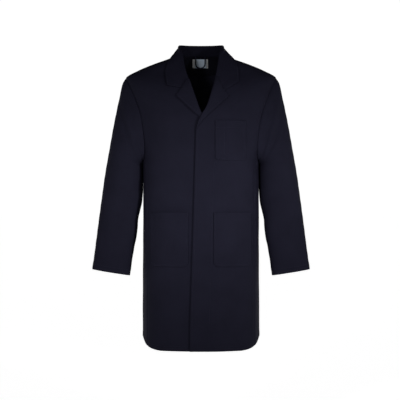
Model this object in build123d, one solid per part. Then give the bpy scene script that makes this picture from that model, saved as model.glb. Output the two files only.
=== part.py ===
"""A knee-length lab coat, hung as it is worn, cut into the cloth pieces that it is sewn from.

X runs from the wearer's right to the wearer's left, the front faces -Y and +Z is up.  The origin is on the
centre line at the height of the high shoulder points.  All sizes are millimetres.
"""
import os
from math import cos, pi, sin

from build123d import *

os.makedirs("parts", exist_ok=True)

# ---------------------------------------------------------------- driving dimensions
BODY_LENGTH = 1000.0        # high shoulder point down to the hem
CLOTH = 0.8                 # one layer of cloth, drawn thick enough to be a sound solid
LAYER_GAP = 0.4             # air between two layers of cloth
SPLIT_GAP = 0.6             # gap between two pieces that move apart
HINGE_GAP_SHARE = 2.5       # a front's side edge turns in place, so its gap is this many times wider

SKIRT_HALF_WIDTH = 196.5
SKIRT_FRONT_DEPTH = 128.0
SKIRT_BACK_DEPTH = 122.0
BODY_ROUNDNESS = 2.4        # exponent of the body's superellipse
SLEEVE_ROUNDNESS = 2.2
SECTION_POINTS = 32

HEM_CORNER_RISE = 56.0      # the hem climbs this much towards each side
HEM_CORNER_RUN = 76.0
SIDE_SEAM_X = 178.0
ARMHOLE_STRIP_X = 165.0     # above the underarm the swinging front stops here, short of the armhole
UNDERARM_HEIGHT = 660.0
FRONT_SPLIT_HEIGHT = 790.0  # where the swinging part of a front meets its chest part
SHOULDER_SEAM_Y = -8.0
NECK_HALF_WIDTH = 80.0
NECK_HALF_DEPTH = 62.0
NECK_CENTRE_Y = 8.0
VENT_HEIGHT = 260.0
VENT_UNDERLAP = 34.0

OVERLAP_STEP = 6.6          # the left front stands this far off the right front where they overlap
FACING_STEP = 5.4
FLY_STEP = 3.6
OVERLAP_HALF_WIDTH = 50.0
OVERLAP_FADE_WIDTH = 110.0
UNDERLAP_EDGE_X = 28.0      # front edge of the right front, under the left
FACING_WIDTH = 78.0
FLY_WIDTH = 58.0

STUD_HEIGHTS = (280.0, 400.0, 520.0, 640.0, 760.0)
STUD_X = 4.0
STUD_DISC_RADIUS = 5.5
STUD_POST_RADIUS = 1.9
STUD_TIP_RADIUS = 1.0
STUD_POST_HEIGHT = 1.3
STUD_BASE_THICKNESS = 0.4
STUD_CLEARANCE = 0.3
SOCKET_OPENING_RADIUS = 2.5
SOCKET_THICKNESS = 1.2

POCKET_TOP = 473.0
POCKET_BOTTOM = 288.0
POCKET_INNER_X = 43.0
POCKET_OUTER_X = 171.0
CHEST_POCKET_TOP = 788.0
CHEST_POCKET_BOTTOM = 652.0
CHEST_POCKET_INNER_X = 48.0
CHEST_POCKET_OUTER_X = 153.0
POCKET_LIFT = 1.6
POCKET_CORNER = 14.0
TACK_LENGTH = 9.0
TACK_WIDTH = 1.8
LAPEL_LIFT = 1.4

SHOULDER_PIVOT_X = 235.0    # a sleeve swings about this point, seen from the front
SHOULDER_PIVOT_HEIGHT = 725.0
SHOULDER_SPLIT_RADIUS = 95.0

LOOP_CENTRE_X = -2.0
LOOP_WIDTH = 38.0
LOOP_DROP = 41.0
LOOP_TAPE = 6.0

FAR = 600.0                 # beyond the coat on every side


def level(height):
    """Z of a height measured up from the hem."""
    return height - BODY_LENGTH


# ---------------------------------------------------------------- body surface
# height above the hem, half width, front depth, back depth, share of the front overlap step
BODY_SECTIONS = (
    (-40.0, SKIRT_HALF_WIDTH, SKIRT_FRONT_DEPTH, SKIRT_BACK_DEPTH, 1.0),
    (650.0, SKIRT_HALF_WIDTH, SKIRT_FRONT_DEPTH, SKIRT_BACK_DEPTH, 1.0),
    (700.0, 211.0, SKIRT_FRONT_DEPTH, 119.0, 1.0),
    (FRONT_SPLIT_HEIGHT, 224.0, SKIRT_FRONT_DEPTH, 115.0, 1.0),
    (856.0, 238.0, 115.0, 110.0, 0.3),
    (897.0, 250.0, 97.0, 102.0, 0.0),
    (925.0, 256.0, 77.0, 94.0, 0.0),
    (938.0, 247.0, 66.0, 90.0, 0.0),
    (951.0, 222.0, 60.0, 87.0, 0.0),
    (965.0, 192.0, 56.0, 84.0, 0.0),
    (979.0, 156.0, 53.0, 81.0, 0.0),
    (998.0, 101.0, 50.0, 76.0, 0.0),
    (1008.0, 84.0, 45.0, 70.0, 0.0),
)
SHOULDER_TOP_HEIGHT = 930.0  # above this the cloth lies nearly flat, so a layer is also raised


def overlap_share(x):
    """1 along the centre front, falling smoothly to 0 beside it."""
    t = (OVERLAP_FADE_WIDTH - abs(x)) / (OVERLAP_FADE_WIDTH - OVERLAP_HALF_WIDTH)
    t = min(1.0, max(0.0, t))
    return t * t * (3 - 2 * t)


def signed_power(value, power):
    return abs(value) ** power * (1 if value >= 0 else -1)


def closed_loft(sections):
    """A solid through closed smooth outlines, each a list of points at one height."""
    faces = [make_face(Spline(*points, periodic=True)) for points in sections]
    return loft(faces, ruled=True)


def body_outline(section, offset, step):
    height, half_width, front, back, share = section
    z = level(height) + (offset if height > SHOULDER_TOP_HEIGHT else 0.0)
    points = []
    for i in range(SECTION_POINTS):
        angle = 2 * pi * (i + 0.5) / SECTION_POINTS
        x = (half_width + offset) * signed_power(cos(angle), 2 / BODY_ROUNDNESS)
        y = signed_power(sin(angle), 2 / BODY_ROUNDNESS)
        y = y * (back + offset) if y > 0 else y * (front + offset)
        if angle > pi:
            y -= step * share * overlap_share(x)
        points.append((x, y, z))
    return points


BODY_CACHE = {}


def body(offset, step=0.0):
    """The filled body, its surface moved out by offset and by the overlap step at the centre front."""
    key = (offset, step)
    if key not in BODY_CACHE:
        BODY_CACHE[key] = closed_loft([body_outline(s, offset, step) for s in BODY_SECTIONS])
    return BODY_CACHE[key]


def body_layer(offset, step=0.0, thickness=CLOTH):
    return body(offset + thickness, step) - body(offset, step)


# ---------------------------------------------------------------- cutting shapes
def prism(points, y_from=-FAR, y_to=FAR):
    """A front-view outline (x, height above the hem) swept from y_from to y_to."""
    outline = Polyline(*[(x, y_from, level(h)) for x, h in points], close=True)
    return extrude(make_face(outline), amount=y_to - y_from, dir=(0, 1, 0))


def mirrored(points):
    return [(-x, h) for x, h in points]


def block(x0, x1, y0, y1, h0, h1):
    return Pos((x0 + x1) / 2, (y0 + y1) / 2, level((h0 + h1) / 2)) * Box(x1 - x0, y1 - y0, h1 - h0)


def above_hem():
    """Everything above the hem line, whose corners are rounded at the sides."""
    flat = SKIRT_HALF_WIDTH + CLOTH + 2 - HEM_CORNER_RUN
    side = SKIRT_HALF_WIDTH + CLOTH + 2
    middle = (flat + 0.72 * HEM_CORNER_RUN, 0.28 * HEM_CORNER_RISE)
    left_arc = ThreePointArc(
        (flat, -FAR, level(0)), (middle[0], -FAR, level(middle[1])), (side, -FAR, level(HEM_CORNER_RISE)))
    right_arc = ThreePointArc(
        (-side, -FAR, level(HEM_CORNER_RISE)), (-middle[0], -FAR, level(middle[1])), (-flat, -FAR, level(0)))
    rest = Polyline(
        (side, -FAR, level(HEM_CORNER_RISE)), (FAR, -FAR, level(HEM_CORNER_RISE)), (FAR, -FAR, 200),
        (-FAR, -FAR, 200), (-FAR, -FAR, level(HEM_CORNER_RISE)), (-side, -FAR, level(HEM_CORNER_RISE)))
    bottom = Line((-flat, -FAR, level(0)), (flat, -FAR, level(0)))
    outline = Wire(left_arc.edges() + rest.edges() + right_arc.edges() + bottom.edges())
    return extrude(make_face(outline), amount=2 * FAR, dir=(0, 1, 0))


# the armhole seam of the wearer's left side, seen from the front
ARMHOLE = [(188.0, UNDERARM_HEIGHT), (193.0, 734.0), (202.0, 798.0), (221.0, 855.0), (253.0, 925.0), (262.0, 945.0)]
ARMHOLE_VOID = prism([(FAR, UNDERARM_HEIGHT)] + ARMHOLE + [(FAR, 945.0)])
ARMHOLE_VOIDS = ARMHOLE_VOID + mirror(ARMHOLE_VOID, Plane.YZ)
NECK_VOID = Pos(0, NECK_CENTRE_Y, level(1000)) * extrude(
    make_face(Ellipse(NECK_HALF_WIDTH, NECK_HALF_DEPTH)), amount=80, both=True)
HEM = above_hem()

# the line along which each lapel rolls over, and the front edge below it
LEFT_ROLL = [(61.0, 1060.0), (54.0, 957.0), (51.0, 930.0), (18.0, 829.0), (-15.0, FRONT_SPLIT_HEIGHT)]
RIGHT_ROLL = [(-60.0, 1060.0), (-52.0, 946.0), (-36.0, 905.0), (0.0, 815.0), (UNDERLAP_EDGE_X, FRONT_SPLIT_HEIGHT)]
LEFT_FRONT_EDGE = [(-15.0, FRONT_SPLIT_HEIGHT), (-22.0, 553.0), (-30.0, 291.0), (-37.0, -60.0)]


# ---------------------------------------------------------------- back
def back_region():
    """The part of the body surface behind the side seams and the shoulder seams."""
    behind = block(-FAR, FAR, SHOULDER_SEAM_Y, FAR, -60, 1100)
    left_side = block(SIDE_SEAM_X, FAR, -FAR, FAR, -60, UNDERARM_HEIGHT)
    right_side = block(-FAR, -SIDE_SEAM_X, -FAR, FAR, -60, UNDERARM_HEIGHT)
    return behind + left_side + right_side


def back_panels():
    whole = (body_layer(0) & back_region() & HEM) - ARMHOLE_VOIDS - NECK_VOID
    seam = SPLIT_GAP / 4
    left = whole & block(seam, FAR, -FAR, FAR, -60, 1100)
    right = whole & block(-FAR, -seam, -FAR, FAR, -60, 1100)
    underlap = body_layer(-CLOTH - LAYER_GAP) & HEM & block(
        -seam, VENT_UNDERLAP, 0, FAR, -60, VENT_HEIGHT)
    hinge = body(0) - body(-LAYER_GAP)
    joint_strip = hinge & HEM & block(-6, -seam, 0, FAR, -60, VENT_HEIGHT)
    root_strip = body_layer(-CLOTH - LAYER_GAP) & HEM & block(-6, -seam, 0, FAR, -60, VENT_HEIGHT)
    return left, right + joint_strip + root_strip + underlap


def back_neck_facing():
    layer = body_layer(-CLOTH - LAYER_GAP)
    return (layer & block(-92, 92, 10, FAR, 930, 1004)) - NECK_VOID


# ---------------------------------------------------------------- fronts
def front_region(side):
    """The front of the body surface on one side: side is +1 for the wearer's left."""
    low = block(0, SIDE_SEAM_X - SPLIT_GAP, -FAR, 0, -60, UNDERARM_HEIGHT)
    high = block(0, FAR, -FAR, SHOULDER_SEAM_Y - SPLIT_GAP / 2, UNDERARM_HEIGHT, 1100)
    over_centre = block(-90, 0, -FAR, 0, -60, 860)
    region = low + high + over_centre
    return region if side > 0 else mirror(region, Plane.YZ)


def left_side_of(edge, lowest=None):
    """The wearer's left of a front edge or roll line that is listed from the top down."""
    foot = edge[-1][1]
    below = [] if lowest is None else [(100, foot), (100, lowest), (FAR, lowest)]
    return prism(edge + below + [(FAR, foot), (FAR, edge[0][1])], -FAR, 0)


def right_side_of(edge, lowest=None):
    return mirror(left_side_of(mirrored(edge), lowest), Plane.YZ)


def swing_space(margin):
    """The space below the chest and medial to the side seam and the armhole, where a front swings."""
    low = block(-90, SIDE_SEAM_X - HINGE_GAP_SHARE * margin, -FAR, 0, -60, UNDERARM_HEIGHT - margin)
    high = block(-90, ARMHOLE_STRIP_X - margin, -FAR, 0, 600, FRONT_SPLIT_HEIGHT - margin)
    return low + high


def swinging(side):
    space = swing_space(SPLIT_GAP)
    return space if side > 0 else mirror(space, Plane.YZ)


def chest(side):
    """Everything that the swinging space leaves, with a gap along the split."""
    space = swing_space(0.0)
    space = space if side > 0 else mirror(space, Plane.YZ)
    return block(-FAR, FAR, -FAR, FAR, UNDERARM_HEIGHT, 1100) - space


def left_front(offset, step):
    layer = body_layer(offset, step) & front_region(1) & HEM
    return layer - ARMHOLE_VOIDS - NECK_VOID


def right_front(offset):
    layer = body_layer(offset) & front_region(-1) & HEM
    return layer - ARMHOLE_VOIDS - NECK_VOID


def left_front_pieces():
    cloth = left_front(0, OVERLAP_STEP)
    chest_part = cloth & chest(1) & left_side_of(LEFT_ROLL, UNDERARM_HEIGHT)
    panel = cloth & swinging(1) & left_side_of(LEFT_FRONT_EDGE)
    return chest_part, panel


def right_front_pieces():
    cloth = right_front(0)
    chest_part = cloth & chest(-1) & right_side_of(RIGHT_ROLL, UNDERARM_HEIGHT)
    panel = cloth & swinging(-1) & block(-FAR, UNDERLAP_EDGE_X, -FAR, 0, -60, FRONT_SPLIT_HEIGHT)
    return chest_part, panel


def left_facing():
    layer = body_layer(0, FACING_STEP) & HEM & swinging(1) & left_side_of(LEFT_FRONT_EDGE)
    return layer & block(-90, -15 + FACING_WIDTH, -FAR, 0, -60, FRONT_SPLIT_HEIGHT)


def fly_strip():
    inset = [(x + 5, h) for x, h in LEFT_FRONT_EDGE]
    layer = body_layer(0, FLY_STEP) & HEM & swinging(1) & left_side_of(inset)
    return layer & block(-90, -15 + FLY_WIDTH, -FAR, 0, 14, FRONT_SPLIT_HEIGHT - 8)


def right_facing():
    layer = body_layer(-CLOTH - LAYER_GAP) & HEM & swinging(-1)
    return layer & block(UNDERLAP_EDGE_X - FACING_WIDTH, UNDERLAP_EDGE_X, -FAR, 0, -60, FRONT_SPLIT_HEIGHT)


LEFT_LAPEL = [(50.0, 911.0), (18.0, 829.0), (3.0, 807.0), (20.0, 803.0), (95.0, 870.0), (80.0, 889.0), (84.0, 903.0)]
RIGHT_LAPEL = [(-40.0, 911.0), (-36.0, 905.0), (0.0, 815.0), (-20.0, 812.0), (-86.0, 872.0), (-66.0, 897.0),
               (-70.0, 905.0)]


def lapel(outline, step):
    return body_layer(LAPEL_LIFT, step) & prism(outline, -FAR, 0)


# ---------------------------------------------------------------- patch pockets
def patch_outline(inner, outer, bottom, top):
    """A patch with both lower corners cut off."""
    return [(inner, top), (inner, bottom + POCKET_CORNER), (inner + POCKET_CORNER, bottom),
            (outer - POCKET_CORNER, bottom), (outer, bottom + POCKET_CORNER), (outer, top)]


HIP_POCKET = patch_outline(POCKET_INNER_X, POCKET_OUTER_X, POCKET_BOTTOM, POCKET_TOP)
CHEST_POCKET = patch_outline(
    CHEST_POCKET_INNER_X, CHEST_POCKET_OUTER_X, CHEST_POCKET_BOTTOM, CHEST_POCKET_TOP)


def inset_patch(outline, amount):
    """The hollow of a pocket: the outline drawn in at its sides and bottom and run out at its mouth."""
    xs = [x for x, _ in outline]
    hs = [h for _, h in outline]
    return patch_outline(min(xs) + amount, max(xs) - amount, min(hs) + amount, max(hs) + 20)


def pocket(outline, step):
    """A patch sewn down along its sides and bottom and open at its mouth."""
    block_of_cloth = (body(POCKET_LIFT + CLOTH, step) - body(CLOTH + 0.02, step)) & prism(outline, -FAR, 0)
    hollow = (body(POCKET_LIFT, step) - body(0, step)) & prism(inset_patch(outline, 2.0), -FAR, 0)
    return block_of_cloth - hollow


def tacks(corners, step, side):
    """Short dense bars of stitching across the ends of a pocket mouth."""
    layer = body_layer(POCKET_LIFT + CLOTH + 0.02, step, 0.7)
    bars = []
    for x, top in corners:
        inward = 1 if side > 0 else -1
        span = sorted((x, x + inward * TACK_WIDTH))
        bars.append(layer & block(span[0], span[1], -FAR, 0, top - TACK_LENGTH, top - 1))
    return bars


# ---------------------------------------------------------------- press studs
def stud_solids(build):
    return [build(level(h)) for h in STUD_HEIGHTS]


def front_y(offset, step, z):
    """Where the stud's axis meets the front of a layer's surface."""
    axis = Axis((STUD_X, 0, z), (0, -1, 0))
    return min(point.Y for point, _ in body(offset, step).find_intersection_points(axis))


def disc(radius, back_y, thickness, z):
    """A flat disc that reaches forward from back_y."""
    return Pos(STUD_X, back_y - thickness / 2, z) * Rot(90, 0, 0) * Cylinder(radius, thickness)


def stud_post(z):
    cloth_y = front_y(CLOTH, 0, z) - STUD_CLEARANCE
    base = disc(STUD_DISC_RADIUS, cloth_y, STUD_BASE_THICKNESS, z)
    middle = cloth_y - STUD_BASE_THICKNESS - STUD_POST_HEIGHT / 2
    post = Pos(STUD_X, middle, z) * Rot(90, 0, 0) * Cone(STUD_POST_RADIUS, STUD_TIP_RADIUS, STUD_POST_HEIGHT)
    return base + post


def stud_rivet(z):
    inside_y = front_y(-CLOTH - LAYER_GAP, 0, z) + STUD_CLEARANCE + STUD_BASE_THICKNESS
    return disc(STUD_DISC_RADIUS - 0.5, inside_y, STUD_BASE_THICKNESS, z)


def stud_socket(z):
    back_y = front_y(0, FLY_STEP, z) + STUD_CLEARANCE + SOCKET_THICKNESS
    ring = disc(STUD_DISC_RADIUS, back_y, SOCKET_THICKNESS, z)
    return ring - disc(SOCKET_OPENING_RADIUS, back_y, SOCKET_THICKNESS - STUD_BASE_THICKNESS, z)


def stud_cap(z):
    return disc(STUD_DISC_RADIUS - 0.5, front_y(CLOTH, FLY_STEP, z) - STUD_CLEARANCE, STUD_BASE_THICKNESS, z)


# ---------------------------------------------------------------- sleeves
# height above the hem, inner x, outer x, half depth
SLEEVE_SECTIONS = (
    (240.0, 246.0, 375.0, 28.0),
    (294.0, 237.0, 368.0, 31.0),
    (414.0, 217.5, 352.0, 43.0),
    (480.0, 208.0, 343.5, 50.0),
    (550.0, 199.0, 334.5, 56.0),
    (640.0, 200.0, 320.0, 62.0),
    (661.0, 202.5, 317.0, 64.5),
    (668.0, 190.0, 316.0, 65.0),
    (720.0, 178.0, 306.0, 66.0),
    (798.0, 168.0, 291.0, 66.0),
    (856.0, 172.0, 280.0, 62.0),
    (897.0, 185.0, 272.0, 50.0),
    (917.0, 200.0, 265.0, 38.0),
    (931.0, 226.0, 257.0, 18.0),
)
CUFF_INNER_HEIGHT = 260.0
CUFF_OUTER_HEIGHT = 281.0
CUFF_SLOPE = (CUFF_OUTER_HEIGHT - CUFF_INNER_HEIGHT) / (369.0 - 241.0)


def sleeve_outline(section, offset):
    height, inner, outer, half_depth = section
    z = level(height) + (offset if height > SHOULDER_TOP_HEIGHT else 0.0)
    centre = (inner + outer) / 2
    half_width = (outer - inner) / 2 + offset
    points = []
    for i in range(SECTION_POINTS // 2):
        angle = 4 * pi * (i + 0.5) / SECTION_POINTS
        x = centre + half_width * signed_power(cos(angle), 2 / SLEEVE_ROUNDNESS)
        y = (half_depth + offset) * signed_power(sin(angle), 2 / SLEEVE_ROUNDNESS)
        points.append((x, y, z))
    return points


def sleeve_pieces():
    """The sleeve cap, which stays with the shoulder, and the sleeve, which swings."""
    outer = closed_loft([sleeve_outline(s, 0) for s in SLEEVE_SECTIONS])
    inner = closed_loft([sleeve_outline(s, -CLOTH) for s in SLEEVE_SECTIONS])
    tube = outer - inner
    pivot = Pos(SHOULDER_PIVOT_X, 0, level(SHOULDER_PIVOT_HEIGHT)) * Rot(90, 0, 0)
    shoulder_disc = pivot * Cylinder(SHOULDER_SPLIT_RADIUS, 2 * FAR)
    gap_disc = pivot * Cylinder(SHOULDER_SPLIT_RADIUS - SPLIT_GAP, 2 * FAR)
    upper = block(0, FAR, -FAR, FAR, SHOULDER_PIVOT_HEIGHT, 1100)
    cap = (tube & (gap_disc + upper) & prism([(FAR, 600), (188.0, 600.0)] + ARMHOLE + [(FAR, 945.0)]))
    cuff_line = prism([
        (0, CUFF_INNER_HEIGHT - 241.0 * CUFF_SLOPE), (FAR, CUFF_INNER_HEIGHT + (FAR - 241.0) * CUFF_SLOPE),
        (FAR, SHOULDER_PIVOT_HEIGHT), (0, SHOULDER_PIVOT_HEIGHT)])
    sleeve = (tube & cuff_line) - shoulder_disc
    return cap, sleeve


# ---------------------------------------------------------------- collar
# neck seam, fold and leaf edge of the wearer's left half, from the centre back to the front: (x, y, height)
COLLAR_STATIONS = (
    ((0.0, 70.0, 1013.0), (0.0, 66.0, 1045.0), (0.0, 99.0, 992.0)),
    ((34.0, 66.0, 1013.0), (31.0, 62.0, 1045.0), (46.0, 94.0, 991.0)),
    ((64.0, 48.0, 1013.0), (57.0, 44.0, 1044.0), (86.0, 68.0, 993.0)),
    ((81.0, 18.0, 1013.0), (68.0, 16.0, 1042.0), (112.0, 22.0, 997.0)),
    ((80.0, -12.0, 1010.0), (66.0, -14.0, 1036.0), (126.0, -22.0, 994.0)),
    ((72.0, -42.0, 999.0), (61.0, -44.0, 1008.0), (129.0, -53.0, 976.0)),
    ((64.0, -66.0, 961.0), (55.0, -73.0, 968.0), (130.0, -75.0, 947.0)),
    ((58.0, -93.0, 913.0), (50.0, -100.0, 918.0), (130.0, -97.0, 914.0)),
)
COLLAR_FOLD_WIDTH = 4.0

# the cloth round the neck with a little air on both faces, which the collar's plies are trimmed to
CLOTH_AND_AIR = body(CLOTH + 0.1) - body(-0.1)
NECK_CLOTH = (CLOTH_AND_AIR & block(-150, 150, -150, 0, 880, 1012) & (
    left_side_of(LEFT_ROLL, UNDERARM_HEIGHT) + right_side_of(RIGHT_ROLL, UNDERARM_HEIGHT))) - NECK_VOID


def collar_section(station, near, far):
    """One cross-section of the folded collar between two distances from the fold's inner side."""
    seam, fold, edge = (Vector(x, y, level(h)) for x, y, h in station)
    across = (edge - seam).normalized()
    fold_out = fold + across * COLLAR_FOLD_WIDTH
    path = [seam, fold, fold_out, edge]
    normal = (fold - seam).cross(edge - fold).normalized()
    sides = [normal.cross(b - a).normalized() * -1 for a, b in zip(path, path[1:])]
    if sides[1].Z < 0:
        sides = [s * -1 for s in sides]
    corners = [sides[0]]
    for first, second in zip(sides, sides[1:]):
        bisector = (first + second).normalized()
        corners.append(bisector * (1 / max(0.5, bisector.dot(first))))
    corners.append(sides[-1])
    outside = [p + c * far for p, c in zip(path, corners)]
    inside = [p + c * near for p, c in zip(path, corners)]
    return make_face(Polyline(*(outside + inside[::-1]), close=True))


def collar_ply(near, far):
    left_half = list(COLLAR_STATIONS)
    right_half = [tuple((-x, y, h) for x, y, h in s) for s in COLLAR_STATIONS[:0:-1]]
    ply = loft([collar_section(s, near, far) for s in right_half + left_half], ruled=True)
    return max((ply - NECK_CLOTH).solids(), key=lambda solid: solid.volume)


# ---------------------------------------------------------------- labels and hanger loop
LABEL_INSET = 2 * (CLOTH + LAYER_GAP)
LOOP_Y = 62.0
LOOP_PIVOT_HEIGHT = 1007.0


def neck_label():
    return body_layer(-LABEL_INSET) & block(-29, 24, 10, FAR, 972, 1003)


def care_label():
    """A folded tab caught in the wearer's left side seam, lying on the inside of the back."""
    return body_layer(-CLOTH - LAYER_GAP) & block(150, FAR, 30, FAR, 330, 380)


def hanger_loop():
    """A narrow tape sewn in at both ends so that it hangs as a U."""
    centre_height = LOOP_PIVOT_HEIGHT - LOOP_DROP + LOOP_WIDTH / 2
    straight = LOOP_PIVOT_HEIGHT - centre_height
    half = LOOP_WIDTH / 2
    ring = Cylinder(half, 1.2) - Cylinder(half - LOOP_TAPE, 1.2)
    ring = Pos(LOOP_CENTRE_X, LOOP_Y, level(centre_height)) * Rot(90, 0, 0) * ring
    bend = ring & block(-FAR, FAR, -FAR, FAR, 900, centre_height)
    legs = [block(LOOP_CENTRE_X + x - LOOP_TAPE / 2, LOOP_CENTRE_X + x + LOOP_TAPE / 2,
                  LOOP_Y - 0.6, LOOP_Y + 0.6, centre_height, centre_height + straight)
            for x in (half - LOOP_TAPE / 2, LOOP_TAPE / 2 - half)]
    return bend + legs[0] + legs[1]


# ---------------------------------------------------------------- write every node
def save(name, *solids):
    shapes = [s for shape in solids for s in shape.solids()]
    result = shapes[0] if len(shapes) == 1 else Compound(children=shapes)
    export_step(result, f"parts/{name}.step")


left_back, right_back = back_panels()
save("left_back_panel", left_back)
save("right_back_panel", right_back)
save("back_neck_facing", back_neck_facing())

left_chest, left_panel = left_front_pieces()
right_chest, right_panel = right_front_pieces()
save("left_front_chest", left_chest)
save("left_front_panel", left_panel)
save("right_front_chest", right_chest)
save("right_front_panel", right_panel)
save("left_facing", left_facing())
save("right_facing", right_facing())
save("fly_strip", fly_strip())
save("left_lapel", lapel(LEFT_LAPEL, OVERLAP_STEP))
save("right_lapel", lapel(RIGHT_LAPEL, 0))

save("chest_pocket", pocket(CHEST_POCKET, OVERLAP_STEP))
save("left_hip_pocket", pocket(HIP_POCKET, OVERLAP_STEP))
save("right_hip_pocket", mirror(pocket(HIP_POCKET, 0), Plane.YZ))
left_corners = [(CHEST_POCKET_INNER_X + 1, CHEST_POCKET_TOP), (CHEST_POCKET_OUTER_X - 3, CHEST_POCKET_TOP),
                (POCKET_INNER_X + 1, POCKET_TOP), (POCKET_OUTER_X - 3, POCKET_TOP)]
right_corners = [(-POCKET_INNER_X - 1, POCKET_TOP), (3 - POCKET_OUTER_X, POCKET_TOP)]
save("left_pocket_tacks", *tacks(left_corners, OVERLAP_STEP, 1))
save("right_pocket_tacks", *tacks(right_corners, 0, -1))

save("stud_posts", *stud_solids(stud_post))
save("stud_rivets", *stud_solids(stud_rivet))
save("stud_sockets", *stud_solids(stud_socket))
save("stud_caps", *stud_solids(stud_cap))

left_cap, left_sleeve = sleeve_pieces()
save("left_sleeve_cap", left_cap)
save("left_sleeve", left_sleeve)
save("right_sleeve_cap", mirror(left_cap, Plane.YZ))
save("right_sleeve", mirror(left_sleeve, Plane.YZ))

save("under_collar", collar_ply(0.0, 0.7))
save("collar_interlining", collar_ply(0.75, 1.05))
save("top_collar", collar_ply(1.1, 1.9))
save("neck_label", neck_label())
save("care_label", care_label())
save("hanger_loop", hanger_loop())
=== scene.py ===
"""The look of a knee-length lab coat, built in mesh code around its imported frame.

Shapes are worked out in millimetres: x to the wearer's left, y to the back, h up from the hem line.
metres() turns them into the frame's own coordinates, whose origin is 1000 mm above the hem line.
"""
import math

import bpy
import numpy as np
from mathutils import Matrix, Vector


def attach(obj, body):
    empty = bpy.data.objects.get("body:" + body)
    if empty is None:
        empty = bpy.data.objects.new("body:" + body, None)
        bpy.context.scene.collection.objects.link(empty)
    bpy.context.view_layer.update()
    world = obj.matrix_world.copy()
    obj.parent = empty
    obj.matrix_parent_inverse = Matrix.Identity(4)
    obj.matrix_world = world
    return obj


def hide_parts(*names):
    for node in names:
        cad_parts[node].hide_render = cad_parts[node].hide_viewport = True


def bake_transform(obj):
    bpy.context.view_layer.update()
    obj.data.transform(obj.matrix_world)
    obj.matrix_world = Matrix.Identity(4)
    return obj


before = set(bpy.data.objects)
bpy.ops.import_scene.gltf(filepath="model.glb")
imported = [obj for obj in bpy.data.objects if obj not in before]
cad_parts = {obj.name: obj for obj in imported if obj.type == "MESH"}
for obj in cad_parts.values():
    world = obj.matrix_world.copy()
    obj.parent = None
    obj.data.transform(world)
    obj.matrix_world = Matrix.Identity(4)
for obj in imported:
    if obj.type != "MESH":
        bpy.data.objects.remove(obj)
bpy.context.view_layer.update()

BODY_LENGTH = 1000.0
LEFT, RIGHT = 1, -1
FRONT, BACK = -1, 1


# ---------- small maths
def smooth(t):
    t = np.clip(t, 0.0, 1.0)
    return t * t * (3 - 2 * t)


def ramp(value, start, end):
    """0 at start and 1 at end, eased at both."""
    return smooth((np.asarray(value, float) - start) / (end - start))


def table(points):
    """A smooth curve with no overshoot through (position, value) points in rising order."""
    xs = np.array([p[0] for p in points], float)
    ys = np.array([p[1] for p in points], float)
    step = np.diff(xs)
    slope = np.diff(ys) / step
    tangent = np.zeros(len(xs))
    tangent[0], tangent[-1] = slope[0], slope[-1]
    for i in range(1, len(xs) - 1):
        if slope[i - 1] * slope[i] > 0:
            w1 = 2 * step[i] + step[i - 1]
            w2 = step[i] + 2 * step[i - 1]
            tangent[i] = (w1 + w2) / (w1 / slope[i - 1] + w2 / slope[i])

    def value(x):
        x = np.clip(np.asarray(x, float), xs[0], xs[-1])
        k = np.clip(np.searchsorted(xs, x) - 1, 0, len(xs) - 2)
        t = (x - xs[k]) / step[k]
        return ((1 + 2 * t) * (1 - t) ** 2 * ys[k] + t * (1 - t) ** 2 * step[k] * tangent[k]
                + t * t * (3 - 2 * t) * ys[k + 1] + t * t * (t - 1) * step[k] * tangent[k + 1])
    return value


def run_along(path):
    """The distance travelled along a path at each of its points."""
    return np.concatenate([[0], np.cumsum(np.linalg.norm(np.diff(path, axis=0), axis=1))])


def resample(path, spacing):
    """The coordinates of points about this far apart along a path."""
    path = np.array(path, float)
    run = run_along(path)
    at = np.linspace(0, run[-1], max(2, int(run[-1] / spacing)))
    return [np.interp(at, run, path[:, k]) for k in range(path.shape[1])]


def path_curve(points):
    """A smooth path through points, taken at a share 0 to 1 of its length."""
    points = np.array(points, float)
    run = run_along(points)
    curves = [table(list(zip(run / run[-1], points[:, k]))) for k in range(points.shape[1])]
    return lambda t: np.stack([c(t) for c in curves], axis=-1)


def corner_share_of(start, corner, end):
    """Where the corner comes along a line from start to end by way of it."""
    before = np.linalg.norm(corner - start)
    return before / (before + np.linalg.norm(end - corner))


def bent_line(start, corner, end, shares, corner_share):
    """Points at shares of the way from start to end by way of a corner."""
    before = start + (corner - start) * (shares / corner_share)[:, None]
    after = corner + (end - corner) * ((shares - corner_share) / (1 - corner_share))[:, None]
    return np.where((shares < corner_share)[:, None], before, after)


def turn_gap(degrees, centre):
    """The signed turn from centre to an angle, from -180 to 180 degrees."""
    return (degrees - centre + 180) % 360 - 180


def metres(points):
    points = np.asarray(points, float)
    return np.stack([points[..., 0], points[..., 1], points[..., 2] - BODY_LENGTH], axis=-1) / 1000.0


def unit(v):
    return v / np.maximum(np.linalg.norm(v, axis=-1, keepdims=True), 1e-9)


def grid_normals(points, wrap=False):
    """Normals of a grid of points, columns across rows."""
    if wrap:
        across = np.roll(points, -1, axis=1) - np.roll(points, 1, axis=1)
    else:
        across = np.gradient(points, axis=1)
    along = np.gradient(points, axis=0)
    return unit(np.cross(across, along))


def edge_spaced(count, length, tight=(1.2, 3.0, 6.0)):
    """Shares 0 to 1 of a length in mm, evenly spread but closer together beside both ends."""
    near = np.array(tight) / length
    middle = np.linspace(near[-1] * 1.9, 1 - near[-1] * 1.9, count)
    return np.concatenate([[0], near, middle, 1 - near[::-1], [1]])


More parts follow.
